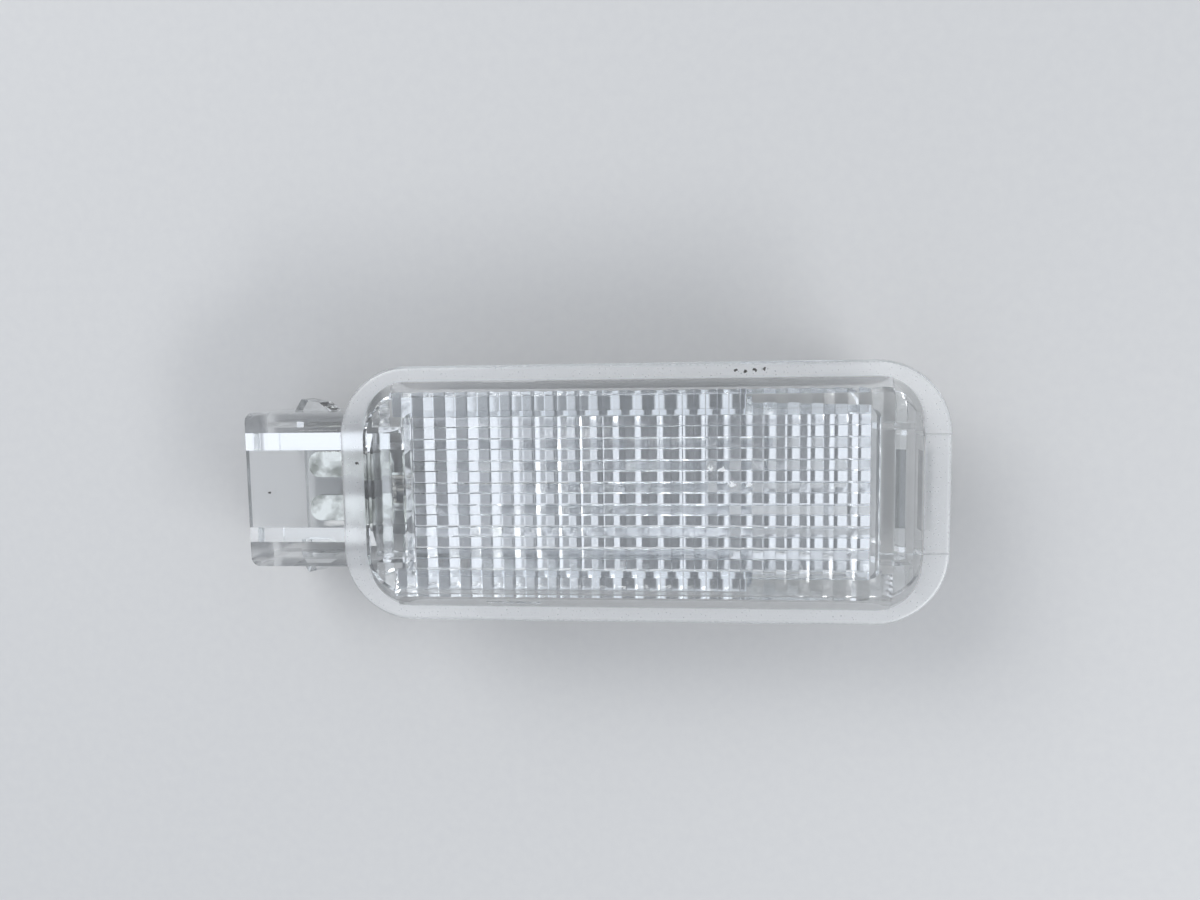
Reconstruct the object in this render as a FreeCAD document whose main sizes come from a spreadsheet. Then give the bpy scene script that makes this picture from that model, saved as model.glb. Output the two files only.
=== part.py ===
import FreeCAD, Part
import os

import Sketcher

# Door courtesy light: clear one-piece lens housing with its plug socket, a prism plate,
# a pressed reflector, a wedge-base bulb and two stamped terminals.
#
# Frame: the origin is the middle of the bezel's rear face, which lies on the door trim.
# +X runs along the length away from the plug socket, +Z out of the lens. Millimetres.

V = FreeCAD.Vector

doc = FreeCAD.newDocument("door_courtesy_light")
sheet = doc.addObject("Spreadsheet::Sheet", "Sizes")
derived = doc.addObject("App::VarSet", "Derived")


def derive(name, expression):
    """A place or width that follows from the driving dimensions."""
    derived.addProperty("App::PropertyFloat", name)
    derived.setExpression(name, expression)
    doc.recompute()


def value(expression):
    """The number an expression stands for now, to start a sketch near its solution."""
    return float(derived.evalExpression(expression))


def sketch_on(body, name, role, offset=None):
    """A sketch on one of the body's own origin planes, moved along its normal."""
    plane = [p for p in body.Origin.OriginFeatures if p.Role == role][0]
    sketch = body.newObject("Sketcher::SketchObject", name)
    sketch.AttachmentSupport = [(plane, "")]
    sketch.MapMode = "FlatFace"
    if offset:
        sketch.setExpression("AttachmentOffset.Base.z", offset)
    return sketch


def bind(sketch, kind, *parts):
    """A dimension of the sketch, held by the expression that comes last."""
    expression = parts[-1]
    number = sketch.addConstraint(Sketcher.Constraint(kind, *parts[:-1], value(expression)))
    sketch.setExpression("Constraints[%d]" % number, expression)


def polygon(sketch, corners):
    """A closed outline of straight lines; each corner is a pair of expressions."""
    points = [V(value(x), value(y), 0) for x, y in corners]
    count = len(points)
    lines = [
        sketch.addGeometry(Part.LineSegment(points[i], points[(i + 1) % count]))
        for i in range(count)
    ]
    for i, line in enumerate(lines):
        after = lines[(i + 1) % count]
        sketch.addConstraint(Sketcher.Constraint("Coincident", line, 2, after, 1))
    for line, (x, y) in zip(lines, corners):
        bind(sketch, "DistanceX", -1, 1, line, 1, x)
        bind(sketch, "DistanceY", -1, 1, line, 1, y)


def rectangle(sketch, left, right, low, high):
    """A rectangle between four expressions."""
    polygon(sketch, [(left, low), (right, low), (right, high), (left, high)])


def rounded(sketch, left, right, low, high, corner, upper="same"):
    """A rectangle with round corners; the upper two are left sharp where upper is None."""
    x0, x1, y0, y1, r = [value(e) for e in (left, right, low, high, corner)]
    quarter = 1.5707963267948966
    stops = [(x0 + r, y0 + r, 2), (x1 - r, y0 + r, 3)]
    if upper:
        stops += [(x1 - r, y1 - r, 0), (x0 + r, y1 - r, 1)]
    arcs = []
    for x, y, turn in stops:
        circle = Part.Circle(V(x, y, 0), V(0, 0, 1), r)
        arcs.append(
            sketch.addGeometry(Part.ArcOfCircle(circle, turn * quarter, (turn + 1) * quarter))
        )
    line = lambda a, b: sketch.addGeometry(Part.LineSegment(V(*a, 0), V(*b, 0)))
    bottom = line((x0 + r, y0), (x1 - r, y0))
    right_side = line((x1, y0 + r), (x1, y1 - r if upper else y1))
    top = line((x1 - r if upper else x1, y1), (x0 + r if upper else x0, y1))
    left_side = line((x0, y1 - r if upper else y1), (x0, y0 + r))
    joins = [(bottom, 1, arcs[0], 2), (bottom, 2, arcs[1], 1), (right_side, 1, arcs[1], 2)]
    joins += [(left_side, 2, arcs[0], 1)]
    if upper:
        joins += [(right_side, 2, arcs[2], 1), (top, 1, arcs[2], 2)]
        joins += [(top, 2, arcs[3], 1), (left_side, 1, arcs[3], 2)]
    else:
        sketch.addConstraint(Sketcher.Constraint("Coincident", right_side, 2, top, 1))
        sketch.addConstraint(Sketcher.Constraint("Coincident", top, 2, left_side, 1))
    for join in joins:
        sketch.addConstraint(Sketcher.Constraint("Tangent", *join))
    for level in (bottom, top):
        sketch.addConstraint(Sketcher.Constraint("Horizontal", level))
    for upright in (left_side, right_side):
        sketch.addConstraint(Sketcher.Constraint("Vertical", upright))
    for arc in arcs[1:]:
        sketch.addConstraint(Sketcher.Constraint("Equal", arcs[0], arc))
    bind(sketch, "Radius", arcs[0], corner)
    bind(sketch, "DistanceX", -1, 1, left_side, 2, left)
    bind(sketch, "DistanceX", -1, 1, right_side, 1, right)
    bind(sketch, "DistanceY", -1, 1, bottom, 1, low)
    bind(sketch, "DistanceY", -1, 1, top, 1, high)


def pad(body, name, sketch, length, back=False, both=False):
    """Material over a sketch, along its normal, against it or half to each side."""
    feature = body.newObject("PartDesign::Pad", name)
    feature.Profile = sketch
    feature.Reversed = back
    if both:
        feature.SideType = "Symmetric"
    feature.setExpression("Length", length)
    doc.recompute()
    return feature


def pocket(body, name, sketch, length, along=False, both=False):
    """A cut under a sketch, against its normal or along it; it has to take material away."""
    before = body.Shape.Volume
    feature = body.newObject("PartDesign::Pocket", name)
    feature.Profile = sketch
    feature.Reversed = along
    if both:
        feature.SideType = "Symmetric"
    feature.setExpression("Length", length)
    doc.recompute()
    if not body.Shape.Volume < before - 1e-6:
        raise RuntimeError(name + " cuts nothing")
    return feature


def row(body, name, feature, sketch, axis, count, pitch):
    """Copies of a feature along one axis of its sketch, at a pitch."""
    pattern = body.newObject("PartDesign::LinearPattern", name)
    pattern.Originals = [feature]
    pattern.Direction = (sketch, [axis])
    pattern.setExpression("Occurrences", count)
    pattern.setExpression("Length", "(%s - 1) * %s" % (count, pitch))
    body.Tip = pattern
    doc.recompute()
    return pattern


def new_body(label):
    body = doc.addObject("PartDesign::Body", label)
    body.Label = label
    return body


sizes = {
    # Bezel and window: the visible frame, and the raised window in its middle.
    "bezel_length": 60.5,
    "bezel_width": 26.0,
    "bezel_corner": 7.2,
    "bezel_thickness": 1.2,
    "bezel_edge_round": 0.5,
    "rim_end": 2.95,
    "window_width": 19.8,
    "window_corner": 4.2,
    "window_rise": 1.3,
    "witness_width": 0.2,
    "witness_depth": 0.12,
    "slope_run": 1.5,
    "slope_length": 49.0,
    # Lens: upright flutes on the inner face of the window.
    "lens_thickness": 1.3,
    "flute_pitch": 2.25,
    "flute_depth": 0.45,
    "flute_flat": 0.1,
    # Skirt: the walls behind the bezel, through the hole in the trim.
    "skirt_length": 56.0,
    "skirt_wall": 1.4,
    "skirt_corner": 4.6,
    "cavity_corner": 2.0,
    "skirt_depth": 9.0,
    "trim_gap": 2.6,
    "tongue_width": 11.6,
    "slit_width": 0.5,
    "slit_root": 1.0,
    "catch_width": 8.0,
    "catch_reach": 1.2,
    "catch_lip": 0.6,
    "catch_ramp": 2.8,
    "rib_wall": 0.6,
    "rib_margin": 0.25,
    "rib_depth": 3.2,
    # Prism plate: cross ridges behind the flutes.
    "plate_length": 47.0,
    "plate_width": 16.8,
    "plate_corner": 0.9,
    "plate_thickness": 0.9,
    "plate_clearance": 0.1,
    "seat_gap": 0.05,
    "ridge_count": 7,
    "ridge_pitch": 2.24,
    "ridge_depth": 1.05,
    "ridge_flat": 0.12,
    # Bulb: all-glass wedge-base lamp lying along the housing.
    "bulb_radius": 4.8,
    "bulb_length": 26.0,
    "bulb_wall": 0.6,
    "bulb_clearance": 0.4,
    "neck_radius": 3.6,
    "neck_length": 4.5,
    "wedge_length": 6.6,
    "wedge_width": 8.8,
    "wedge_thickness": 2.0,
    "wire_diameter": 0.5,
    "wire_offset": 2.2,
    "wire_reach": 11.0,
    "coil_diameter": 0.4,
    # Reflector: pressed sheet round the bulb.
    "sheet": 0.4,
    "sheet_clearance": 0.05,
    "reflector_right": 22.6,
    "reflector_corner": 5.2,
    "ramp_run": 12.0,
    "lip_clearance": 0.02,
    "lip_right": 10.4,
    "ramp_width": 17.2,
    "clip_left": 16.0,
    "clip_length": 5.6,
    "clip_top": 2.8,
    "clip_height": 1.8,
    "clip_reach": 0.6,
    "clip_clearance": 0.2,
    # Plug socket at the end of the housing.
    "tail_length": 14.1,
    "tail_width": 16.6,
    "tail_height": 9.0,
    "tail_corner": 1.0,
    "socket_width": 12.0,
    "socket_wall": 1.2,
    "socket_chamfer": 1.8,
    "lip_setback": 3.3,
    "beam_wall": 1.0,
    "slot_width": 0.6,
    "slot_post": 2.6,
    "nose_tip": 4.3,
    "nose_reach": 1.3,
    "nose_steep": 0.8,
    "nose_crest": 2.0,
    "nose_ramp": 1.0,
    "nose_back": 0.9,
    "nose_drop": 3.0,
    "nose_height": 3.4,
    # Terminals: stamped strips, a plug blade outside and a bulb contact inside.
    "blade_width": 2.8,
    "blade_thickness": 0.8,
    "blade_pitch": 4.8,
    "blade_recess": 5.6,
    "leaf_thickness": 0.4,
    "leaf_length": 4.6,
    "leaf_height": 5.0,
    "strip_overlap": 0.6,
    "blade_round": 1.2,
    "terminal_clearance": 0.02,
    # Bulb holder: the block behind the socket that the bulb's wedge is pushed into.
    "holder_wall": 2.4,
    "holder_skin": 0.4,
    "holder_back": 1.1,
    "holder_depth": 5.0,
    "holder_clearance": 0.1,
    "leaf_clearance": 0.1,
}
for number, (alias, amount) in enumerate(sizes.items(), 1):
    sheet.set("A%d" % number, alias)
    sheet.set("B%d" % number, str(amount))
    sheet.setAlias("B%d" % number, alias)
doc.recompute()

derive("window_end", "Sizes.bezel_length / 2 - Sizes.rim_end")
derive("window_top", "Sizes.bezel_thickness + Sizes.window_rise")
derive("lens_inner", "Derived.window_top - Sizes.lens_thickness")
derive("flute_tip", "Derived.lens_inner - Sizes.flute_depth")
derive("plate_front", "Derived.flute_tip - Sizes.seat_gap")
derive("plate_back", "Derived.plate_front - Sizes.plate_thickness")
derive("lip_top", "Derived.plate_back - Sizes.seat_gap")
derive("ridge_tip", "Derived.plate_back - Sizes.ridge_depth")
derive("holder_slot_half", "Sizes.wedge_width / 2 + Sizes.holder_clearance")
derive("bulb_room", "max(Sizes.bulb_radius; Derived.holder_slot_half + Sizes.holder_skin)")
derive("bulb_axis", "Derived.ridge_tip - Sizes.bulb_clearance - Derived.bulb_room")
derive("floor_inner", "Derived.bulb_axis - Derived.bulb_room - Sizes.bulb_clearance")
derive("floor_outer", "Derived.floor_inner - Sizes.sheet")
derive("skirt_half", "Sizes.window_width / 2 + Sizes.slope_run")
derive("cavity_half", "Derived.skirt_half - Sizes.skirt_wall")
derive("skirt_end", "Sizes.skirt_length / 2")
derive("cavity_end", "Derived.skirt_end - Sizes.skirt_wall")
derive("plate_end", "Sizes.plate_length / 2")
derive("rib_start", "Derived.plate_end + Sizes.plate_clearance")
derive("rib_inner", "(Sizes.tongue_width + Sizes.slit_width) / 2 + Sizes.rib_margin")
derive("tail_end", "Derived.skirt_end + Sizes.tail_length")
derive("tail_half", "Sizes.tail_width / 2")
derive("tail_top", "-Sizes.trim_gap")
derive("tail_bottom", "Derived.tail_top - Sizes.tail_height")
derive("socket_top", "Derived.tail_top - Sizes.socket_wall")
derive("socket_bottom", "Derived.tail_bottom + Sizes.socket_wall")
derive("socket_half", "Sizes.socket_width / 2")
derive("blade_tip", "Derived.tail_end - Sizes.blade_recess")
derive("blade_y", "Sizes.blade_pitch / 2")
derive("leaf_inner", "Sizes.wedge_thickness / 2 + Sizes.wire_diameter")
derive("leaf_outer", "Derived.leaf_inner + Sizes.leaf_thickness")
derive("holder_gap", "Derived.leaf_outer + Sizes.leaf_clearance")
derive("holder_half", "Derived.holder_gap + Sizes.holder_wall")
derive("holder_slot_back", "Derived.cavity_end - Sizes.holder_back")
derive("holder_front", "Derived.holder_slot_back - Sizes.holder_depth")
derive("wire_turn", "(Sizes.wedge_thickness + Sizes.wire_diameter) / 4")
derive("wire_room", "Derived.wire_turn + Sizes.wire_diameter / 2 + Sizes.holder_clearance")
derive("wedge_back", "Derived.holder_slot_back - Derived.wire_room")
derive("strip_end", "Derived.holder_slot_back - Sizes.strip_overlap")
derive("slot_outer", "Derived.tail_half - Sizes.beam_wall")
derive("nose_start", "-(Derived.tail_end - Sizes.nose_tip)")
derive("nose_top", "Derived.nose_start + Sizes.nose_steep")
derive("nose_fall", "Derived.nose_top + Sizes.nose_crest")
derive("nose_end", "Derived.nose_fall + Sizes.nose_ramp")
derive("sheet_half", "Derived.cavity_half - Sizes.sheet_clearance")
derive("sheet_left", "Derived.cavity_end - Sizes.cavity_corner - Sizes.sheet_clearance")


# Lens housing: bezel, window, skirt and plug socket in one clear moulding.
housing = new_body("lens_housing")

bezel_outline = sketch_on(housing, "bezel_outline", "XY_Plane")
rounded(
    bezel_outline,
    "-Sizes.bezel_length / 2",
    "Sizes.bezel_length / 2",
    "-Sizes.bezel_width / 2",
    "Sizes.bezel_width / 2",
    "Sizes.bezel_corner",
)
bezel = pad(housing, "bezel", bezel_outline, "Sizes.bezel_thickness")
front_edges = [
    "Edge%d" % (number + 1)
    for number, edge in enumerate(bezel.Shape.Edges)
    if min(v.Z for v in edge.Vertexes) > value("Sizes.bezel_thickness") - 1e-6
]
bezel_round = housing.newObject("PartDesign::Fillet", "bezel_round")
bezel_round.Base = (bezel, front_edges)
bezel_round.setExpression("Radius", "Sizes.bezel_edge_round")
doc.recompute()

window_outline = sketch_on(housing, "window_outline", "XY_Plane")
rounded(
    window_outline,
    "-Derived.window_end",
    "Derived.window_end",
    "-Sizes.window_width / 2",
    "Sizes.window_width / 2",
    "Sizes.window_corner",
)
pad(housing, "window", window_outline, "Derived.window_top")

# The long sides of the window slope down to the bezel over the skirt walls.
slope_section = sketch_on(housing, "slope_section", "YZ_Plane")
polygon(
    slope_section,
    [
        ("-Derived.skirt_half", "Sizes.bezel_thickness / 2"),
        ("Derived.skirt_half", "Sizes.bezel_thickness / 2"),
        ("Derived.skirt_half", "Sizes.bezel_thickness"),
        ("Sizes.window_width / 2", "Derived.window_top"),
        ("-Sizes.window_width / 2", "Derived.window_top"),
        ("-Derived.skirt_half", "Sizes.bezel_thickness"),
    ],
)
pad(housing, "slopes", slope_section, "Sizes.slope_length", both=True)

skirt_outline = sketch_on(housing, "skirt_outline", "XY_Plane")
rounded(
    skirt_outline,
    "-Derived.skirt_end",
    "Derived.skirt_end",
    "-Derived.skirt_half",
    "Derived.skirt_half",
    "Sizes.skirt_corner",
)
pad(housing, "skirt", skirt_outline, "Sizes.skirt_depth", back=True)
cavity_outline = sketch_on(housing, "cavity_outline", "XY_Plane", "-Sizes.skirt_depth")
rounded(
    cavity_outline,
    "-Derived.cavity_end",
    "Derived.cavity_end",
    "-Derived.cavity_half",
    "Derived.cavity_half",
    "Sizes.cavity_corner",
)
pocket(
    housing,
    "cavity",
    cavity_outline,
    "Sizes.skirt_depth + Derived.lens_inner",
    along=True,
)

# Flutes: upright V ridges side by side, with a narrow flat at each root and tip.
flute_count = "2 * ceil(Derived.cavity_end / Sizes.flute_pitch)"
flute_middle = "(1 - %s) / 2 * Sizes.flute_pitch" % flute_count
flute_section = sketch_on(housing, "flute_section", "XZ_Plane")
polygon(
    flute_section,
    [
        (flute_middle + " - (Sizes.flute_pitch - Sizes.flute_flat) / 2", "Derived.lens_inner"),
        (flute_middle + " - Sizes.flute_flat / 2", "Derived.flute_tip"),
        (flute_middle + " + Sizes.flute_flat / 2", "Derived.flute_tip"),
        (flute_middle + " + (Sizes.flute_pitch - Sizes.flute_flat) / 2", "Derived.lens_inner"),
    ],
)
flute = pad(
    housing, "flute", flute_section, "2 * Derived.cavity_half + Sizes.skirt_wall", both=True
)
row(housing, "flutes", flute, flute_section, "H_Axis", flute_count, "Sizes.flute_pitch")

# Snap tongue: the end wall between two slits, with a catch behind the trim.
slit_section = sketch_on(housing, "slit_section", "YZ_Plane")
for side in ("", "-"):
    rectangle(
        slit_section,
        side + "(Sizes.tongue_width - Sizes.slit_width) / 2",
        side + "(Sizes.tongue_width + Sizes.slit_width) / 2",
        "-Sizes.skirt_depth - Sizes.skirt_wall",
        "-Sizes.slit_root",
    )
pocket(housing, "slits", slit_section, "Derived.skirt_end + Sizes.skirt_wall", along=True)

# Witness lines of the mould's slide, across the bezel in line with the slits.
witness_outline = sketch_on(housing, "witness_outline", "XY_Plane", "Sizes.bezel_thickness")
for side in ("", "-"):
    rectangle(
        witness_outline,
        "Derived.window_end",
        "Sizes.bezel_length / 2 + Sizes.witness_width",
        side + "(Sizes.tongue_width - Sizes.witness_width) / 2",
        side + "(Sizes.tongue_width + Sizes.witness_width) / 2",
    )
pocket(housing, "witness_lines", witness_outline, "Sizes.witness_depth")

catch_section = sketch_on(housing, "catch_section", "XZ_Plane")
polygon(
    catch_section,
    [
        ("Derived.skirt_end - Sizes.skirt_wall / 2", "Derived.tail_top"),
        ("Derived.skirt_end + Sizes.catch_reach", "Derived.tail_top"),
        ("Derived.skirt_end + Sizes.catch_reach", "Derived.tail_top - Sizes.catch_lip"),
        ("Derived.skirt_end", "Derived.tail_top - Sizes.catch_lip - Sizes.catch_ramp"),
        (
            "Derived.skirt_end - Sizes.skirt_wall / 2",
            "Derived.tail_top - Sizes.catch_lip - Sizes.catch_ramp",
        ),
    ],
)
pad(housing, "catch", catch_section, "Sizes.catch_width", both=True)

# End ribs: they stop the prism plate at both ends, clear of the tongue's slits.
rib_outline = sketch_on(housing, "rib_outline", "XY_Plane", "Derived.lens_inner")
for side in ("", "-"):
    for end in ("", "-"):
        rectangle(
            rib_outline,
            end + "Derived.rib_start",
            end + "(Derived.cavity_end + Sizes.skirt_wall / 2)",
            side + "Derived.rib_inner",
            side + "(Derived.rib_inner + Sizes.rib_wall)",
        )
pad(housing, "ribs", rib_outline, "Sizes.rib_depth", back=True)

# Clips: wedges inside the long walls that hold the reflector's side windows.
clip_section = sketch_on(housing, "clip_section", "YZ_Plane", "-Sizes.clip_left")
for side in ("", "-"):
    polygon(
        clip_section,
        [
            (side + "(Derived.cavity_half + Sizes.skirt_wall / 2)", "-Sizes.clip_top"),
            (side + "(Derived.cavity_half - Sizes.clip_reach)", "-Sizes.clip_top"),
            (side + "Derived.cavity_half", "-Sizes.clip_top - Sizes.clip_height"),
            (
                side + "(Derived.cavity_half + Sizes.skirt_wall / 2)",
                "-Sizes.clip_top - Sizes.clip_height",
            ),
        ],
    )
pad(housing, "clips", clip_section, "Sizes.clip_length")

# Plug socket: a box below the bezel, open at its far end.
tail_outline = sketch_on(housing, "tail_outline", "XY_Plane", "Derived.tail_top")
rectangle(
    tail_outline,
    "-Derived.tail_end",
    "-Derived.cavity_end - Sizes.skirt_wall / 2",
    "-Derived.tail_half",
    "Derived.tail_half",
)
tail = pad(housing, "tail", tail_outline, "Sizes.tail_height", back=True)
mouth_edges = [
    "Edge%d" % (number + 1)
    for number, edge in enumerate(tail.Shape.Edges)
    if max(v.X for v in edge.Vertexes) < -value("Derived.tail_end") + 1e-6
    and abs(edge.Vertexes[0].Z - edge.Vertexes[-1].Z) > 1e-6
]
tail_round = housing.newObject("PartDesign::Fillet", "tail_round")
tail_round.Base = (tail, mouth_edges)
tail_round.setExpression("Radius", "Sizes.tail_corner")
doc.recompute()

# Bulb holder: a block on the inside of the end wall.
holder_outline = sketch_on(
    housing, "holder_outline", "XY_Plane", "Derived.bulb_axis + Derived.bulb_room"
)
rectangle(
    holder_outline,
    "-Derived.cavity_end - Sizes.skirt_wall / 2",
    "-Derived.holder_front",
    "-Derived.holder_half",
    "Derived.holder_half",
)
pad(housing, "holder", holder_outline, "2 * Derived.bulb_room", back=True)

socket_section = sketch_on(housing, "socket_section", "YZ_Plane", "-Derived.tail_end")
polygon(
    socket_section,
    [
        ("-Derived.socket_half", "Derived.socket_bottom"),
        ("Derived.socket_half", "Derived.socket_bottom"),
        ("Derived.socket_half", "Derived.socket_top - Sizes.socket_chamfer"),
        ("Derived.socket_half - Sizes.socket_chamfer", "Derived.socket_top"),
        ("-Derived.socket_half + Sizes.socket_chamfer", "Derived.socket_top"),
        ("-Derived.socket_half", "Derived.socket_top - Sizes.socket_chamfer"),
    ],
)
pocket(housing, "socket", socket_section, "Sizes.tail_length", along=True)

lip_section = sketch_on(housing, "lip_section", "YZ_Plane", "-Derived.tail_end")
rectangle(
    lip_section,
    "-Derived.socket_half",
    "Derived.socket_half",
    "Derived.tail_bottom - Sizes.socket_wall",
    "Derived.socket_bottom",
)
pocket(housing, "lower_lip", lip_section, "Sizes.lip_setback", along=True)

# Spring beams: slots free the side walls of the socket, and each beam carries a nose.
slot_outline = sketch_on(housing, "slot_outline", "XY_Plane", "Derived.tail_top")
for side in ("", "-"):
    rectangle(
        slot_outline,
        "-Derived.tail_end + Sizes.slot_post",
        "-Derived.skirt_end - Sizes.slot_post",
        side + "(Derived.slot_outer - Sizes.slot_width)",
        side + "Derived.slot_outer",
    )
pocket(housing, "slots", slot_outline, "Sizes.tail_height + Sizes.socket_wall")

nose_outline = sketch_on(
    housing, "nose_outline", "XY_Plane", "Derived.tail_top - Sizes.nose_drop"
)
for side in ("", "-"):
    polygon(
        nose_outline,
        [
            ("Derived.nose_start", side + "(Derived.tail_half - Sizes.beam_wall / 2)"),
            ("Derived.nose_start", side + "Derived.tail_half"),
            ("Derived.nose_top", side + "(Derived.tail_half + Sizes.nose_reach)"),
            ("Derived.nose_fall", side + "(Derived.tail_half + Sizes.nose_back)"),
            ("Derived.nose_end", side + "Derived.tail_half"),
            ("Derived.nose_end", side + "(Derived.tail_half - Sizes.beam_wall / 2)"),
        ],
    )
pad(housing, "noses", nose_outline, "Sizes.nose_height", back=True)

holder_section = sketch_on(housing, "holder_section", "YZ_Plane", "-Derived.holder_front")
rectangle(
    holder_section,
    "-Derived.holder_gap",
    "Derived.holder_gap",
    "Derived.bulb_axis - Derived.holder_slot_half",
    "Derived.bulb_axis + Derived.holder_slot_half",
)
pocket(housing, "holder_slot", holder_section, "Sizes.holder_depth")

blade_room = "(Sizes.blade_width / 2 + Sizes.terminal_clearance)"
blade_rise = "(Sizes.blade_thickness / 2 + Sizes.terminal_clearance)"
passage_section = sketch_on(housing, "passage_section", "YZ_Plane", "-Derived.skirt_end")
for side in ("", "-"):
    rectangle(
        passage_section,
        side + "(Derived.blade_y - %s)" % blade_room,
        side + "(Derived.blade_y + %s)" % blade_room,
        "Derived.bulb_axis - " + blade_rise,
        "Derived.bulb_axis + " + blade_rise,
    )
pocket(
    housing,
    "passages",
    passage_section,
    "Derived.skirt_end - Derived.strip_end + Sizes.terminal_clearance",
    along=True,
)

# Prism plate: flat towards the lens, long V ridges towards the bulb.
plate = new_body("prism_plate")
plate_outline = sketch_on(plate, "plate_outline", "XY_Plane", "Derived.plate_front")
rounded(
    plate_outline,
    "-Derived.plate_end",
    "Derived.plate_end",
    "-Sizes.plate_width / 2",
    "Sizes.plate_width / 2",
    "Sizes.plate_corner",
)
pad(plate, "plate", plate_outline, "Sizes.plate_thickness", back=True)
ridge_middle = "(1 - Sizes.ridge_count) / 2 * Sizes.ridge_pitch"
ridge_section = sketch_on(plate, "ridge_section", "YZ_Plane")
polygon(
    ridge_section,
    [
        (ridge_middle + " - (Sizes.ridge_pitch - Sizes.ridge_flat) / 2", "Derived.plate_back"),
        (ridge_middle + " - Sizes.ridge_flat / 2", "Derived.ridge_tip"),
        (ridge_middle + " + Sizes.ridge_flat / 2", "Derived.ridge_tip"),
        (ridge_middle + " + (Sizes.ridge_pitch - Sizes.ridge_flat) / 2", "Derived.plate_back"),
    ],
)
ridge = pad(
    plate, "ridge", ridge_section, "Sizes.plate_length - 2 * Sizes.plate_corner", both=True
)
row(plate, "ridges", ridge, ridge_section, "H_Axis", "Sizes.ridge_count", "Sizes.ridge_pitch")

# Reflector: a pressed trough round the bulb with a ramp at its far end and two lips
# that hold the prism plate under the flutes.
reflector = new_body("reflector")
trough_section = sketch_on(reflector, "trough_section", "YZ_Plane", "-Derived.sheet_left")
rounded(
    trough_section,
    "-Derived.sheet_half",
    "Derived.sheet_half",
    "Derived.floor_outer",
    "Derived.lip_top",
    "Sizes.reflector_corner",
    upper=None,
)
pad(reflector, "trough", trough_section, "Derived.sheet_left + Sizes.reflector_right")
ramp_section = sketch_on(reflector, "ramp_section", "XZ_Plane")
polygon(
    ramp_section,
    [
        ("Sizes.reflector_right - Sizes.ramp_run", "Derived.floor_outer"),
        ("Sizes.reflector_right + Sizes.sheet", "Derived.floor_outer"),
        ("Sizes.reflector_right + Sizes.sheet", "Derived.lip_top - 3 * Sizes.sheet"),
        ("Sizes.reflector_right", "Derived.lip_top - 3 * Sizes.sheet"),
    ],
)
ramp = pocket(reflector, "ramp", ramp_section, "2 * Derived.skirt_half", both=True)
open_faces = [
    "Face%d" % (number + 1)
    for number, face in enumerate(ramp.Shape.Faces)
    if face.BoundBox.ZMin > value("Derived.lip_top") - 1e-6
    or face.BoundBox.XMax < -value("Derived.sheet_left") + 1e-6
]
shell = reflector.newObject("PartDesign::Thickness", "shell")
shell.Base = (ramp, open_faces)
shell.setExpression("Value", "Sizes.sheet")
shell.Reversed = True
shell.Join = "Intersection"
doc.recompute()

lip_edge = "(Sizes.ridge_count * Sizes.ridge_pitch / 2 + Sizes.lip_clearance)"
edge_section = sketch_on(reflector, "edge_section", "YZ_Plane", "-Derived.sheet_left")
for side in ("", "-"):
    rectangle(
        edge_section,
        side + lip_edge,
        side + "(Derived.sheet_half - Sizes.sheet / 2)",
        "Derived.lip_top - Sizes.sheet",
        "Derived.lip_top",
    )
pad(reflector, "lips", edge_section, "Derived.sheet_left + Sizes.lip_right")
wall_outline = sketch_on(reflector, "wall_outline", "XY_Plane", "Derived.lip_top")
for side in ("", "-"):
    rectangle(
        wall_outline,
        "Sizes.lip_right",
        "Sizes.reflector_right + Sizes.sheet",
        side + "Sizes.ramp_width / 2",
        side + "(Derived.sheet_half + Sizes.sheet)",
    )
pocket(reflector, "wall_ends", wall_outline, "Derived.lip_top - Derived.floor_outer")

relief_section = sketch_on(reflector, "relief_section", "YZ_Plane")
rectangle(
    relief_section,
    "-" + lip_edge,
    lip_edge,
    "Derived.ridge_tip - Sizes.bulb_clearance",
    "Derived.lip_top + Sizes.sheet",
)
pocket(reflector, "relief", relief_section, "Sizes.reflector_right + Sizes.sheet", along=True)

side_window = sketch_on(reflector, "side_window", "XZ_Plane")
rectangle(
    side_window,
    "-Sizes.clip_left - Sizes.clip_clearance",
    "-Sizes.clip_left + Sizes.clip_length + Sizes.clip_clearance",
    "-Sizes.clip_top - Sizes.clip_height - Sizes.clip_clearance",
    "-Sizes.clip_top + Sizes.seat_gap",
)
pocket(reflector, "side_windows", side_window, "2 * Derived.skirt_half", both=True)

notch_outline = sketch_on(reflector, "notch_outline", "XY_Plane", "Derived.bulb_axis")
rectangle(
    notch_outline,
    "-Derived.sheet_left - Sizes.sheet",
    "-Derived.holder_front + Sizes.clip_clearance",
    "-Derived.holder_half - Sizes.clip_clearance",
    "Derived.holder_half + Sizes.clip_clearance",
)
pocket(reflector, "notch", notch_outline, "Derived.bulb_axis - Derived.floor_outer + Sizes.sheet")

# Bulb glass: a hollow envelope on a flat pressed wedge, turned about its own axis.
glass = new_body("bulb_glass")


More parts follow.
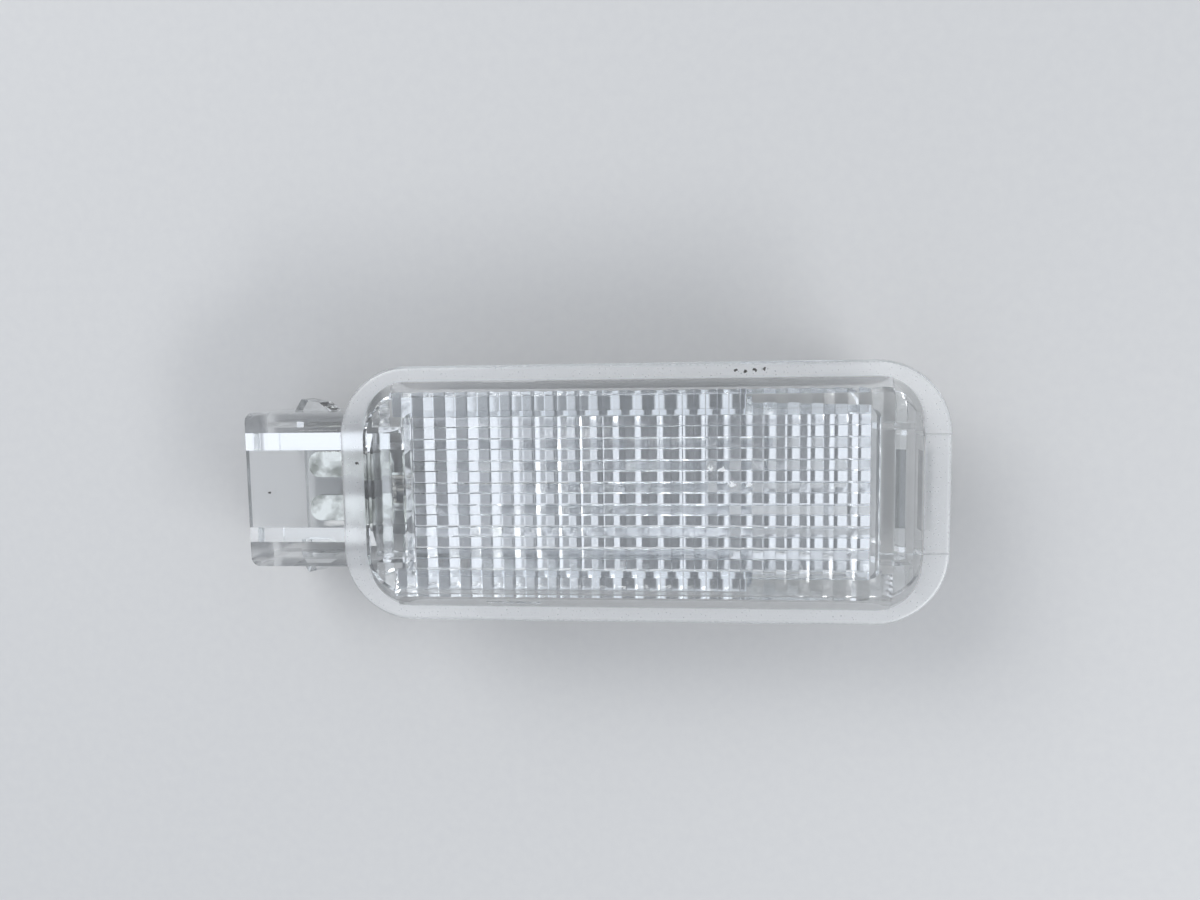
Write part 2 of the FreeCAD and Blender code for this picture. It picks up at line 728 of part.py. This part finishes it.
def envelope(sketch, start, foot, slope_end, radius, wall):
    """Half section of the envelope: a sloping neck, a straight wall and a round end."""
    centre = "(Sizes.bulb_length - Sizes.bulb_radius)"
    r = value("%s - %s" % (radius, wall))
    f = value("%s - %s" % (foot, wall))
    x0, x1, xc = value(start), value(slope_end), value(centre)
    lines = [
        sketch.addGeometry(Part.LineSegment(V(*a, 0), V(*b, 0)))
        for a, b in (
            ((x0, 0), (x0, f)),
            ((x0, f), (x1, r)),
            ((x1, r), (xc, r)),
            ((xc + r, 0), (x0, 0)),
        )
    ]
    circle = Part.Circle(V(xc, 0, 0), V(0, 0, 1), r)
    arc = sketch.addGeometry(Part.ArcOfCircle(circle, 0, 1.5707963267948966))
    for join in (
        (lines[0], 2, lines[1], 1),
        (lines[1], 2, lines[2], 1),
        (lines[2], 2, arc, 2),
        (arc, 1, lines[3], 1),
        (lines[3], 2, lines[0], 1),
    ):
        sketch.addConstraint(Sketcher.Constraint("Coincident", *join))
    sketch.addConstraint(Sketcher.Constraint("PointOnObject", lines[0], 1, -1))
    sketch.addConstraint(Sketcher.Constraint("PointOnObject", arc, 1, -1))
    sketch.addConstraint(Sketcher.Constraint("PointOnObject", arc, 3, -1))
    sketch.addConstraint(Sketcher.Constraint("Vertical", lines[0]))
    sketch.addConstraint(Sketcher.Constraint("Horizontal", lines[2]))
    bind(sketch, "DistanceX", -1, 1, lines[0], 1, start)
    bind(sketch, "DistanceY", -1, 1, lines[0], 2, "%s - %s" % (foot, wall))
    bind(sketch, "DistanceX", -1, 1, lines[1], 2, slope_end)
    bind(sketch, "DistanceX", -1, 1, arc, 3, centre)
    bind(sketch, "DistanceX", -1, 1, arc, 2, centre)
    bind(sketch, "Radius", arc, "%s - %s" % (radius, wall))


outer_profile = sketch_on(glass, "outer_profile", "XZ_Plane")
neck_end = "Sizes.wedge_length + Sizes.neck_length"
envelope(
    outer_profile, "Sizes.wedge_length", "Sizes.neck_radius", neck_end, "Sizes.bulb_radius", "0"
)
turned = glass.newObject("PartDesign::Revolution", "envelope")
turned.Profile = outer_profile
turned.ReferenceAxis = (outer_profile, ["H_Axis"])
turned.Angle = 360
doc.recompute()
wedge_outline = sketch_on(glass, "wedge_outline", "XZ_Plane")
rectangle(
    wedge_outline,
    "0",
    "Sizes.wedge_length + Sizes.bulb_wall",
    "-Sizes.wedge_width / 2",
    "Sizes.wedge_width / 2",
)
pad(glass, "wedge", wedge_outline, "Sizes.wedge_thickness", both=True)
inner_profile = sketch_on(glass, "inner_profile", "XZ_Plane")
envelope(
    inner_profile,
    "Sizes.wedge_length + 2 * Sizes.bulb_wall",
    "Sizes.neck_radius",
    neck_end,
    "Sizes.bulb_radius",
    "Sizes.bulb_wall",
)
hollow = glass.newObject("PartDesign::Groove", "hollow")
hollow.Profile = inner_profile
hollow.ReferenceAxis = (inner_profile, ["H_Axis"])
hollow.Angle = 360
doc.recompute()
wire_holes = sketch_on(glass, "wire_holes", "YZ_Plane")
for side in ("", "-"):
    hole = wire_holes.addGeometry(
        Part.Circle(
            V(0, value(side + "Sizes.wire_offset"), 0), V(0, 0, 1), value("Sizes.wire_diameter / 2")
        )
    )
    wire_holes.addConstraint(Sketcher.Constraint("PointOnObject", hole, 3, -2))
    bind(wire_holes, "DistanceY", -1, 1, hole, 3, side + "Sizes.wire_offset")
    bind(wire_holes, "Radius", hole, "Sizes.wire_diameter / 2")
pocket(glass, "wire_passages", wire_holes, "Sizes.wedge_length + Sizes.neck_length", along=True)

# Lead wires: from the coil through the glass, round the foot and up one flat of the wedge.
turn = value("Derived.wire_turn")
offset = value("Sizes.wire_offset")
half_wire = value("Sizes.wire_diameter / 2")
coil_end = value("Sizes.wedge_length + Sizes.wire_reach")
fold_end = value("Sizes.leaf_length")


def lead_wire(label, side):
    """A round wire folded into a hook: straight, across the foot, straight back."""
    top = V(coil_end, 0, side * offset)
    foot = V(-turn, 0, side * offset)
    back = V(-turn, side * 2 * turn, side * offset)
    tip = V(fold_end, side * 2 * turn, side * offset)
    path = Part.makePolygon([top, foot, back, tip])
    section = Part.Wire([Part.Circle(top, V(1, 0, 0), half_wire).toShape()])
    wire = doc.addObject("Part::Feature", label)
    wire.Label = label
    wire.Shape = path.makePipeShell([section], True, True, 1)
    return wire


wires = [lead_wire("bulb_wire_upper", 1), lead_wire("bulb_wire_lower", -1)]

# Coil: the filament's envelope, lying on the ends of both lead wires.
coil = doc.addObject("Part::Cylinder", "bulb_filament")
coil.Label = "bulb_filament"
coil.setExpression("Radius", "Sizes.coil_diameter / 2")
coil.setExpression("Height", "2 * Sizes.wire_offset + Sizes.wire_diameter")
for piece in [glass, *wires]:
    piece.setExpression("Placement.Base.x", "-Derived.wedge_back")
    piece.setExpression("Placement.Base.z", "Derived.bulb_axis")
coil.setExpression(
    "Placement.Base.x",
    "-Derived.wedge_back + Sizes.wedge_length + Sizes.wire_reach + Sizes.coil_diameter / 2",
)
coil.setExpression(
    "Placement.Base.z", "Derived.bulb_axis - Sizes.wire_offset - Sizes.wire_diameter / 2"
)


def terminal(label, side):
    """A plug blade through the end wall, and an upright leaf against the bulb's wire."""
    body = new_body(label)
    strip = sketch_on(
        body, label + "_strip", "XY_Plane", "Derived.bulb_axis - Sizes.blade_thickness / 2"
    )
    edges = ["Derived.blade_y - Sizes.blade_width / 2", "Derived.blade_y + Sizes.blade_width / 2"]
    low, high = edges if side == "" else ["-(%s)" % e for e in reversed(edges)]
    rounded(strip, "-Derived.blade_tip", "-Derived.strip_end", low, high, "Sizes.blade_round")
    pad(body, label + "_blade", strip, "Sizes.blade_thickness")
    leaf = sketch_on(
        body, label + "_outline", "XY_Plane", "Derived.bulb_axis - Sizes.leaf_height / 2"
    )
    rectangle(
        leaf,
        "-Derived.holder_slot_back + Sizes.leaf_clearance",
        "-Derived.holder_slot_back + Sizes.leaf_clearance + Sizes.leaf_length",
        side + "Derived.leaf_inner",
        side + "Derived.leaf_outer",
    )
    pad(body, label + "_leaf", leaf, "Sizes.leaf_height")
    return body


terminals = [terminal("terminal_upper", ""), terminal("terminal_lower", "-")]

# Every object has to be sound before anything is written.
doc.recompute()
for item in doc.Objects:
    if "Invalid" in item.State or "Error" in item.State:
        raise RuntimeError("%s failed: %s" % (item.Label, item.State))
pieces = [housing, plate, reflector, glass, *wires, coil, *terminals]
for piece in pieces:
    if piece.Shape.isNull() or not piece.Shape.isValid() or len(piece.Shape.Solids) != 1:
        raise RuntimeError(piece.Label + " has no single valid solid")

os.makedirs("parts", exist_ok=True)
for piece in pieces:
    piece.Shape.exportStep("parts/%s.step" % piece.Label)
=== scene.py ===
import math

import bpy
import numpy as np
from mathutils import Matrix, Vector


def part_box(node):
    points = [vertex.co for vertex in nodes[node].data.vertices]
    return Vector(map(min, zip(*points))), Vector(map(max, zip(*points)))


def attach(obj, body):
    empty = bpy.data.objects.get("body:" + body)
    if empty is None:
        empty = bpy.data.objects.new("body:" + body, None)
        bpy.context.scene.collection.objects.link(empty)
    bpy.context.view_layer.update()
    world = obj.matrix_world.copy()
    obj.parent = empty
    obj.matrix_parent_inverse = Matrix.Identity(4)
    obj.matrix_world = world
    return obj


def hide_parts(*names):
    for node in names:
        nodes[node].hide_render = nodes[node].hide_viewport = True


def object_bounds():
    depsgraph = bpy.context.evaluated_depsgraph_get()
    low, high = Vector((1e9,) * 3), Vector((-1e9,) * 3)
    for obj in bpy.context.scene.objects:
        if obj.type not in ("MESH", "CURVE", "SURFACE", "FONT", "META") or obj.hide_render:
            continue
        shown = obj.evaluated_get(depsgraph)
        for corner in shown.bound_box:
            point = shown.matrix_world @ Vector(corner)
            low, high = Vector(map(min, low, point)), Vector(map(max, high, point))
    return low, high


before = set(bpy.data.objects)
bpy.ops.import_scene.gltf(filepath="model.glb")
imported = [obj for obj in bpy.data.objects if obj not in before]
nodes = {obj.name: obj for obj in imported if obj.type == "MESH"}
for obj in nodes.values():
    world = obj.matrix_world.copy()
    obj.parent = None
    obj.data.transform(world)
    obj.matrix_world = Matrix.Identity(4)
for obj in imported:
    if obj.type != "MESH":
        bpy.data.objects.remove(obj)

cad_low, cad_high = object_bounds()

# Lens housing: one clear moulding. The rim of the bezel is frosted by a fine etched grain,
# and the window, its sloping sides, the skirt and the socket are polished. A few specks of
# dirt lie on the rim and the socket, and the window has pale scuffs.
MM = 0.001


def material(name):
    """A new node material: its tree, its principled shader and its object coordinates."""
    made = bpy.data.materials.new(name)
    made.use_nodes = True
    tree = made.node_tree
    place = tree.nodes.new("ShaderNodeTexCoord").outputs["Object"]
    return made, tree, tree.nodes["Principled BSDF"], place


def node(tree, kind, inputs, **settings):
    """A shader node: numbers are set on its sockets, and other values are linked to them."""
    made = tree.nodes.new(kind)
    for key, setting in settings.items():
        setattr(made, key, setting)
    for key, source in inputs.items():
        if isinstance(source, bpy.types.NodeSocket):
            tree.links.new(source, made.inputs[key])
        else:
            made.inputs[key].default_value = source
    return made


rim_inner = (27.4 * MM, 11.35 * MM)
rim_corner = 4.3 * MM
rim_blend = 0.12 * MM
rim_edge = (0.75 * MM, 1.15 * MM)
rim_transmission = 0.79
plastic_colour = (0.975, 0.985, 0.985, 1)
dirt_colour = (0.05, 0.045, 0.04, 1)
dirt_spread = 0.28 * MM
dirt_spots = (
    (-28.47, 3.23, 1.2),
    (9.7, 12.17, 1.2),
    (10.6, 12.06, 1.2),
    (11.5, 12.14, 1.2),
    (12.4, 12.23, 1.2),
    (-39.65, -0.27, -2.6),
)
scuff_spread = 0.55 * MM
scuff_spots = ((7.14, 2.7, 2.5), (8.34, 2.63, 2.5), (9.25, 1.17, 2.5), (10.85, 1.17, 2.5))
clear, tree, shader, place = material("clear_plastic")
flat = node(tree, "ShaderNodeVectorMath", {0: place, 1: (1, 1, 0)}, operation="MULTIPLY")
folded = node(tree, "ShaderNodeVectorMath", {0: flat.outputs[0]}, operation="ABSOLUTE")
past = node(
    tree,
    "ShaderNodeVectorMath",
    {0: folded.outputs[0], 1: (rim_inner[0] - rim_corner, rim_inner[1] - rim_corner, 0)},
    operation="SUBTRACT",
)
outside = node(tree, "ShaderNodeVectorMath", {0: past.outputs[0], 1: (0, 0, 0)}, operation="MAXIMUM")
reach = node(tree, "ShaderNodeVectorMath", {0: outside.outputs[0]}, operation="LENGTH")
band = node(
    tree,
    "ShaderNodeMapRange",
    {"Value": reach.outputs["Value"], "From Min": rim_corner, "From Max": rim_corner + rim_blend},
)
height = node(tree, "ShaderNodeSeparateXYZ", {0: place})
above = node(
    tree,
    "ShaderNodeMapRange",
    {"Value": height.outputs["Z"], "From Min": rim_edge[0], "From Max": rim_edge[1]},
)
frost = node(
    tree,
    "ShaderNodeMath",
    {0: band.outputs[0], 1: above.outputs[0]},
    operation="MULTIPLY",
)
grain = node(tree, "ShaderNodeTexNoise", {"Vector": place, "Scale": 5200.0, "Detail": 3.0})
haze = node(tree, "ShaderNodeTexNoise", {"Vector": place, "Scale": 160.0, "Detail": 6.0})
worn = node(
    tree,
    "ShaderNodeMapRange",
    {"Value": haze.outputs["Fac"], "From Min": 0.45, "From Max": 0.8, "To Min": 0.015, "To Max": 0.07},
)
etched = node(
    tree,
    "ShaderNodeMapRange",
    {"Value": grain.outputs["Fac"], "From Min": 0.3, "From Max": 0.7, "To Min": 0.27, "To Max": 0.33},
)
ragged = node(tree, "ShaderNodeTexNoise", {"Vector": place, "Scale": 4000.0, "Detail": 3.0})


def marks(spots, spread):
    """1 in blots round places in mm, where distance + 2 * spread * noise < 1.5 * spread."""
    total = 0.0
    for spot in spots:
        centre = tuple(MM * step for step in spot)
        away = node(tree, "ShaderNodeVectorMath", {0: place, 1: centre}, operation="DISTANCE")
        edge = node(
            tree,
            "ShaderNodeMath",
            {0: ragged.outputs["Fac"], 1: 2 * spread, 2: away.outputs["Value"]},
            operation="MULTIPLY_ADD",
        )
        blot = node(
            tree, "ShaderNodeMath", {0: edge.outputs[0], 1: 1.5 * spread}, operation="LESS_THAN"
        )
        joined = node(tree, "ShaderNodeMath", {0: total, 1: blot.outputs[0]}, operation="MAXIMUM")
        total = joined.outputs[0]
    return total


dirt = marks(dirt_spots, dirt_spread)
scuffs = marks(scuff_spots, scuff_spread)
dull_zone = node(tree, "ShaderNodeMath", {0: frost.outputs[0], 1: scuffs}, operation="MAXIMUM")
gloss = node(
    tree,
    "ShaderNodeMix",
    {"Factor": dull_zone.outputs[0], "A": worn.outputs[0], "B": etched.outputs[0]},
)
hazed = node(
    tree,
    "ShaderNodeMapRange",
    {"Value": frost.outputs[0], "To Min": 1.0, "To Max": rim_transmission},
)
scraped = node(tree, "ShaderNodeMapRange", {"Value": scuffs, "To Min": 1.0, "To Max": 0.6})
grimed = node(tree, "ShaderNodeMapRange", {"Value": dirt, "To Min": 1.0, "To Max": 0.15})
both = node(
    tree,
    "ShaderNodeMath",
    {0: hazed.outputs[0], 1: scraped.outputs[0]},
    operation="MULTIPLY",
)
milk = node(
    tree,
    "ShaderNodeMath",
    {0: both.outputs[0], 1: grimed.outputs[0]},
    operation="MULTIPLY",
)
tint = node(
    tree,
    "ShaderNodeMix",
    {"Factor": dirt, "A": plastic_colour, "B": dirt_colour},
    data_type="RGBA",
)
pits = node(
    tree,
    "ShaderNodeBump",
    {"Strength": frost.outputs[0], "Distance": 0.002 * MM, "Height": grain.outputs["Fac"]},
)
tree.links.new(gloss.outputs[0], shader.inputs["Roughness"])
tree.links.new(milk.outputs[0], shader.inputs["Transmission Weight"])
tree.links.new(pits.outputs[0], shader.inputs["Normal"])
tree.links.new(tint.outputs["Result"], shader.inputs["Base Color"])
shader.inputs["IOR"].default_value = 1.58
nodes["lens_housing"].data.materials.clear()
nodes["lens_housing"].data.materials.append(clear)

# Prism plate: a sheet of polished clear plastic, slightly uneven from the mould. It lies
# between the flutes of the window and the lips of the reflector.
prism, tree, shader, place = material("prism_plastic")
sink = node(tree, "ShaderNodeTexNoise", {"Vector": place, "Scale": 220.0, "Detail": 2.0})
wave = node(
    tree, "ShaderNodeBump", {"Strength": 0.12, "Distance": 0.05 * MM, "Height": sink.outputs["Fac"]}
)
dull = node(
    tree,
    "ShaderNodeMapRange",
    {"Value": sink.outputs["Fac"], "From Min": 0.4, "From Max": 0.7, "To Min": 0.02, "To Max": 0.06},
)
tree.links.new(wave.outputs[0], shader.inputs["Normal"])
tree.links.new(dull.outputs[0], shader.inputs["Roughness"])
shader.inputs["Base Color"].default_value = (0.98, 0.985, 0.99, 1)
shader.inputs["Transmission Weight"].default_value = 1.0
shader.inputs["IOR"].default_value = 1.58
nodes["prism_plate"].data.materials.clear()
nodes["prism_plate"].data.materials.append(prism)

# Reflector: bright rolled sheet. Fine rolling lines run along it, and the pressing
# leaves faint clouds in the gloss.
sheet, tree, shader, place = material("reflector_sheet")
drawn = node(tree, "ShaderNodeMapping", {"Vector": place, "Scale": (40.0, 2600.0, 2600.0)})
lines = node(tree, "ShaderNodeTexNoise", {"Vector": drawn.outputs[0], "Scale": 1.0, "Detail": 4.0})
cloud = node(tree, "ShaderNodeTexNoise", {"Vector": place, "Scale": 120.0, "Detail": 3.0})
satin = node(
    tree,
    "ShaderNodeMapRange",
    {"Value": cloud.outputs["Fac"], "From Min": 0.3, "From Max": 0.7, "To Min": 0.14, "To Max": 0.26},
)
rolled = node(
    tree, "ShaderNodeBump", {"Strength": 0.25, "Distance": 0.01 * MM, "Height": lines.outputs["Fac"]}
)
tree.links.new(satin.outputs[0], shader.inputs["Roughness"])
tree.links.new(rolled.outputs[0], shader.inputs["Normal"])
shader.inputs["Base Color"].default_value = (0.88, 0.89, 0.9, 1)
shader.inputs["Metallic"].default_value = 1.0
nodes["reflector"].data.materials.clear()
nodes["reflector"].data.materials.append(sheet)

# Bulb: thin clear glass on a flat pressed wedge, with faint streaks from drawing the tube.
# The wedge is pushed into the holder behind the socket.
glass, tree, shader, place = material("bulb_glass")
streak = node(tree, "ShaderNodeMapping", {"Vector": place, "Scale": (30.0, 600.0, 600.0)})
pull = node(tree, "ShaderNodeTexNoise", {"Vector": streak.outputs[0], "Scale": 1.0, "Detail": 2.0})
ripple = node(
    tree, "ShaderNodeBump", {"Strength": 0.05, "Distance": 0.02 * MM, "Height": pull.outputs["Fac"]}
)
tree.links.new(ripple.outputs[0], shader.inputs["Normal"])
shader.inputs["Base Color"].default_value = (0.985, 0.99, 0.99, 1)
shader.inputs["Roughness"].default_value = 0.01
shader.inputs["Transmission Weight"].default_value = 1.0
shader.inputs["IOR"].default_value = 1.5
nodes["bulb_glass"].data.materials.clear()
nodes["bulb_glass"].data.materials.append(glass)

# Lead wires: drawn nickel-iron, slightly oxidised in patches. They come from the filament
# through the glass, fold round the bulb's foot and lie against the contacts.
lead, tree, shader, place = material("lead_wire")
patch = node(tree, "ShaderNodeTexNoise", {"Vector": place, "Scale": 700.0, "Detail": 3.0})
oxide = node(
    tree,
    "ShaderNodeMix",
    {"Factor": patch.outputs["Fac"], "A": (0.66, 0.64, 0.6, 1), "B": (0.45, 0.42, 0.38, 1)},
    data_type="RGBA",
)
tree.links.new(oxide.outputs["Result"], shader.inputs["Base Color"])
shader.inputs["Metallic"].default_value = 1.0
shader.inputs["Roughness"].default_value = 0.32
for name in ("bulb_wire_upper", "bulb_wire_lower"):
    nodes[name].data.materials.clear()
    nodes[name].data.materials.append(lead)

# Filament: tungsten wire wound into a fine coil, held across the ends of the lead wires.
# It takes the place of the plain rod of the CAD model.
low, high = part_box("bulb_filament")
turns = 26
turn_steps = 12
thread = 10
around = turn_steps * turns
coil_margin = 0.05 * MM
coil_radius = (high.x - low.x) / 2 - coil_margin
wire_radius = 0.045 * MM


def coil_points():
    """A round wire carried along a helix: its circle stands in the plane through the coil's
    axis, and the helix climbs evenly from one end to the other."""
    t = np.linspace(0, 2 * math.pi * turns, around)[:, None]
    u = np.linspace(0, 2 * math.pi, thread, endpoint=False)[None, :]
    rise = np.linspace(low.z + wire_radius, high.z - wire_radius, around)[:, None]
    out = coil_radius + wire_radius * np.cos(u)
    x = (low.x + high.x) / 2 + out * np.cos(t)
    y = (low.y + high.y) / 2 + out * np.sin(t)
    return np.stack([x, y, rise + wire_radius * np.sin(u)], -1).reshape(-1, 3)


rows, cols = np.meshgrid(np.arange(around - 1), np.arange(thread), indexing="ij")
after = (cols + 1) % thread
quads = np.stack(
    [rows * thread + cols, rows * thread + after, (rows + 1) * thread + after, (rows + 1) * thread + cols],
    -1,
).reshape(-1, 4)
coil_mesh = bpy.data.meshes.new("filament_coil")
coil_mesh.from_pydata(coil_points().tolist(), [], quads.tolist())
coil_mesh.shade_smooth()
coil = bpy.data.objects.new("filament_coil", coil_mesh)
bpy.context.scene.collection.objects.link(coil)
tungsten, tree, shader, place = material("filament")
soot = node(tree, "ShaderNodeTexNoise", {"Vector": place, "Scale": 3000.0, "Detail": 2.0})
dark = node(
    tree,
    "ShaderNodeMix",
    {"Factor": soot.outputs["Fac"], "A": (0.36, 0.35, 0.34, 1), "B": (0.24, 0.23, 0.22, 1)},
    data_type="RGBA",
)
tree.links.new(dark.outputs["Result"], shader.inputs["Base Color"])
shader.inputs["Metallic"].default_value = 1.0
shader.inputs["Roughness"].default_value = 0.45
coil_mesh.materials.append(tungsten)
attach(coil, "root")
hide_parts("bulb_filament")

# Terminals: tin-plated strip, with the rolling grain along the blade. Dark and light patches
# painted into its colour at random are painted shade and painted highlights on the blades.
tin, tree, shader, place = material("tinned_brass")
along = node(tree, "ShaderNodeMapping", {"Vector": place, "Scale": (60.0, 3000.0, 3000.0)})
rolling = node(tree, "ShaderNodeTexNoise", {"Vector": along.outputs[0], "Scale": 1.0, "Detail": 4.0})
painted_light_and_gloss_noise = node(tree, "ShaderNodeTexNoise", {"Vector": place, "Scale": 450.0, "Detail": 3.0})
# Painted shade and painted highlight: this mask blends the blades' colour between a light and a near-black
# tone in random patches.
painted_light_mask = node(
    tree, "ShaderNodeMapRange", {"Value": painted_light_and_gloss_noise.outputs["Fac"], "From Min": 0.4, "From Max": 0.62}
)
painted_light_tone = node(
    tree,
    "ShaderNodeMix",
    {"Factor": painted_light_mask.outputs[0], "A": (0.82, 0.83, 0.79, 1), "B": (0.24, 0.25, 0.22, 1)},
    data_type="RGBA",
)
matt = node(
    tree,
    "ShaderNodeMapRange",
    {"Value": painted_light_and_gloss_noise.outputs["Fac"], "From Min": 0.3, "From Max": 0.7, "To Min": 0.1, "To Max": 0.22},
)
brushed = node(
    tree, "ShaderNodeBump", {"Strength": 0.3, "Distance": 0.01 * MM, "Height": rolling.outputs["Fac"]}
)
tree.links.new(painted_light_tone.outputs["Result"], shader.inputs["Base Color"])
tree.links.new(matt.outputs[0], shader.inputs["Roughness"])
tree.links.new(brushed.outputs[0], shader.inputs["Normal"])
shader.inputs["Metallic"].default_value = 1.0
for name in ("terminal_upper", "terminal_lower"):
    nodes[name].data.materials.clear()
    nodes[name].data.materials.append(tin)

# Floor: a plain pale sheet of paper with a fine fibre, which takes the shadow of the lamp.
# The lamp lies on the back of its reflector.
bpy.ops.mesh.primitive_plane_add(size=3.0, location=(0, 0, cad_low.z))
floor = bpy.context.object
floor.name = "floor"
paper, tree, shader, place = material("floor_paper")
fibre = node(tree, "ShaderNodeTexNoise", {"Vector": place, "Scale": 900.0, "Detail": 4.0})
pale = node(
    tree,
    "ShaderNodeMix",
    {"Factor": fibre.outputs["Fac"], "A": (0.48, 0.48, 0.48, 1), "B": (0.52, 0.52, 0.51, 1)},
    data_type="RGBA",
)
tree.links.new(pale.outputs["Result"], shader.inputs["Base Color"])
shader.inputs["Roughness"].default_value = 0.7
floor.data.materials.append(paper)

# Light: a wide soft window to one side, a long strip at the other, and a room that is
# dim in a long band overhead, across the lamp, and light on both sides of it.
dim_squeeze = (1, 0.25, 0)
dim_shift = (-0.06, 0, 0)
room_colour = (0.87, 0.915, 1.0, 1)
for name, spot, width, depth, power in (
    ("window_light", (-0.32, 0.3, 0.34), 0.34, 0.26, 1.5),
    ("strip_light", (0.3, -0.22, 0.22), 0.3, 0.08, 0.9),
):
    lamp = bpy.data.lights.new(name, "AREA")
    lamp.shape = "RECTANGLE"
    lamp.size = width
    lamp.size_y = depth
    lamp.energy = power
    holder = bpy.data.objects.new(name, lamp)
    bpy.context.scene.collection.objects.link(holder)
    holder.location = spot
    holder.rotation_euler = (holder.location * -1).to_track_quat("-Z", "Y").to_euler()
world = bpy.data.worlds.new("room")
world.use_nodes = True
bpy.context.scene.world = world
tree = world.node_tree
sky = node(tree, "ShaderNodeTexCoord", {})
squeezed = node(
    tree,
    "ShaderNodeVectorMath",
    {0: sky.outputs["Generated"], 1: dim_squeeze, 2: dim_shift},
    operation="MULTIPLY_ADD",
)
aside = node(tree, "ShaderNodeVectorMath", {0: squeezed.outputs[0]}, operation="LENGTH")
shade = node(
    tree,
    "ShaderNodeMapRange",
    {"Value": aside.outputs["Value"], "From Min": 0.16, "From Max": 0.38, "To Min": 0.2, "To Max": 1.1},
)
tree.links.new(shade.outputs[0], tree.nodes["Background"].inputs["Strength"])
tree.nodes["Background"].inputs["Color"].default_value = room_colour

# Camera: almost straight above the lens and close to it. Light may bend many times on its
# way, because it crosses the flutes, the ridges of the plate and the bulb.
lens = bpy.data.cameras.new("camera")
lens.lens = 27.0
lens.sensor_width = 36.0
lens.clip_start = 0.001
camera = bpy.data.objects.new("camera", lens)
bpy.context.scene.collection.objects.link(camera)
camera.location = (4.748 * MM, 12.622 * MM, 89.5 * MM)
camera.rotation_euler = (-0.09305, 0.09324, -0.01432)
scene = bpy.context.scene
scene.camera = camera
scene.view_settings.view_transform = "Standard"
scene.cycles.max_bounces = 32
scene.cycles.transmission_bounces = 32
scene.cycles.glossy_bounces = 24
